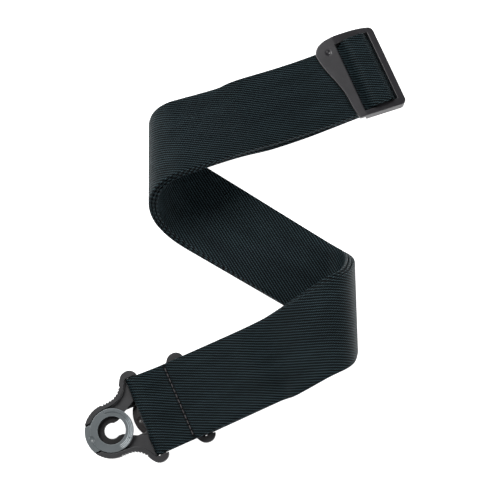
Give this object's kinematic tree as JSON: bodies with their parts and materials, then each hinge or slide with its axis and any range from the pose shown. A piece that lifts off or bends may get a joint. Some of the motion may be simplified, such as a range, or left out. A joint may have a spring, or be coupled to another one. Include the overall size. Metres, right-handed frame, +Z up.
{
  "type": "guitar strap",
  "caption": "Webbing guitar strap folded in a loose Z, with a sprung locking end for each strap button and a three-bar adjuster.",
  "frame": {"origin": "centre of the bounding box in plan, on the surface the strap lies on", "axes": "+Z up, +X to the right and +Y away from the viewer, as the strap lies folded, adjuster at the far right"},
  "size_m": [0.2046, 0.2878, 0.052],
  "materials": {
    "webbing": "woven polypropylene, black, slight sheen",
    "thread": "polyester sewing thread, grey",
    "adjuster": "moulded nylon, dark purple-grey, fine grain",
    "lock_body": "moulded nylon, dark grey, fine grain",
    "lock_slider": "moulded acetal, dark brown-grey, satin",
    "jaw": "moulded acetal, near black",
    "spring_steel": "zinc-plated spring wire"
  },
  "bodies": {
    "strap": {"webbing": "webbing", "seam_lock_a": "thread", "seam_adjuster": "thread", "adjuster": "adjuster", "lock_b_frame": "lock_body", "lock_b_back_plate": "lock_body", "lock_b_jaw": "jaw", "lock_b_spring_left": "spring_steel", "lock_b_spring_right": "spring_steel"},
    "lock_a": {"lock_a_frame": "lock_body", "lock_a_back_plate": "lock_body", "lock_a_jaw": "jaw", "lock_a_spring_left": "spring_steel", "lock_a_spring_right": "spring_steel"},
    "lock_a_ring": {"lock_a_slider": "lock_slider"},
    "lock_b_ring": {"lock_b_slider": "lock_slider"}
  },
  "joints": [
    {"name": "lock_a_tilt", "type": "hinge", "parent": "strap", "child": "lock_a", "pos_m": [-0.0639, -0.11505, 0.013], "axis": [-0.4067, 0.9135, 0], "range_deg": [0, 70]},
    {"name": "lock_a_slide", "type": "slide", "parent": "lock_a", "child": "lock_a_ring", "axis": [0.9135, 0.4067, 0], "range_m": [0, 0.0045], "stiffness_N_per_m": 1200, "deforming": ["lock_a_spring_left", "lock_a_spring_right"]},
    {"name": "lock_b_slide", "type": "slide", "parent": "strap", "child": "lock_b_ring", "axis": [0.9135, 0.4067, 0], "range_m": [0, 0.0045], "stiffness_N_per_m": 1200, "deforming": ["lock_b_spring_left", "lock_b_spring_right"]}
  ]
}
